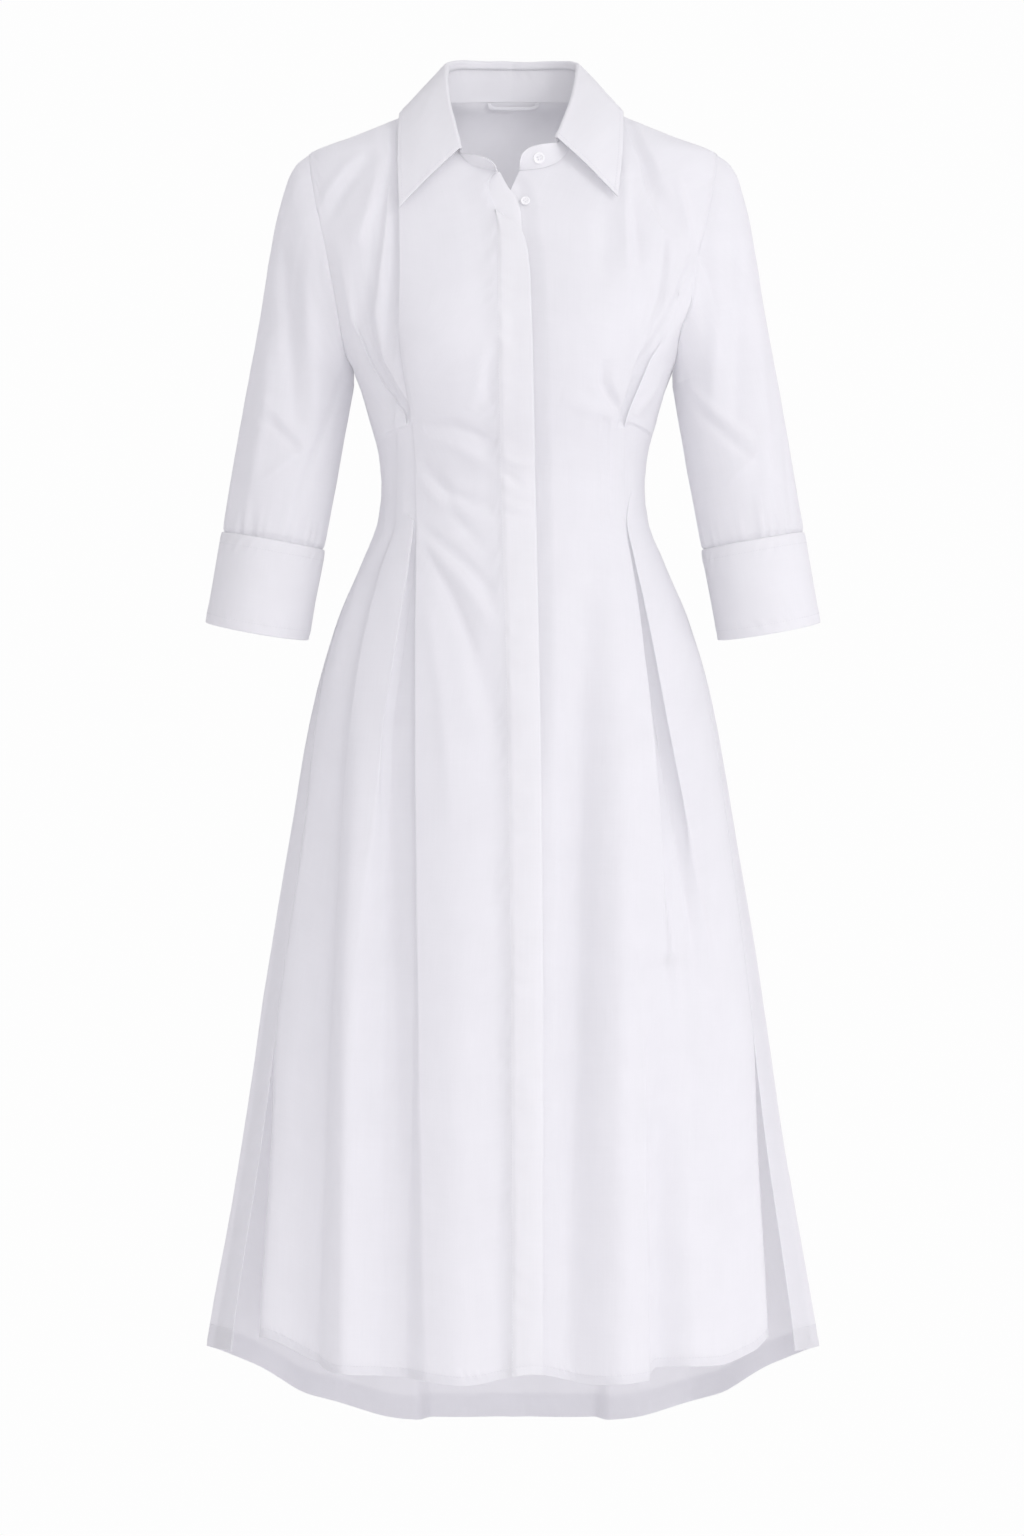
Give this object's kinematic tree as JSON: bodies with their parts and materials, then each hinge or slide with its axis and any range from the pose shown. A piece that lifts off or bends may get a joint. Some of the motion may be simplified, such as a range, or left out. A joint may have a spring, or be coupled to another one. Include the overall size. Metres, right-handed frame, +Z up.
{
  "type": "shirt dress",
  "caption": "Collared midi shirt dress in its worn shape, with a fly-front placket, pleated waist, cuffed three-quarter sleeves and side slits.",
  "frame": {"origin": "midway between the two points where the shoulder seams meet the collar stand, level with them: where the wearer's shoulders hold the dress", "axes": "+Z up along the body, -Y the front of the dress, +X the wearer's left"},
  "size_m": [0.5764, 0.4234, 1.313],
  "materials": {
    "cotton": "plain-weave cotton shirting, white, matt with a slight sheen",
    "cotton_interlined": "the same shirting over a stiff interlining, topstitched along its edges",
    "button": "polished white resin, dished, with sewing holes"
  },
  "bodies": {
    "root": {"front_right": "cotton", "front_left": "cotton", "back": "cotton", "skirt_front_right": "cotton", "skirt_front_left": "cotton", "skirt_back": "cotton", "placket": "cotton", "buttonhole_band": "cotton", "sleeve_right": "cotton", "sleeve_left": "cotton", "cuff_right": "cotton_interlined", "cuff_left": "cotton_interlined", "collar_stand": "cotton_interlined", "collar_leaf": "cotton_interlined", "hanger_loop": "cotton", "collar_button": "button", "front_button": "button"}
  },
  "joints": []
}
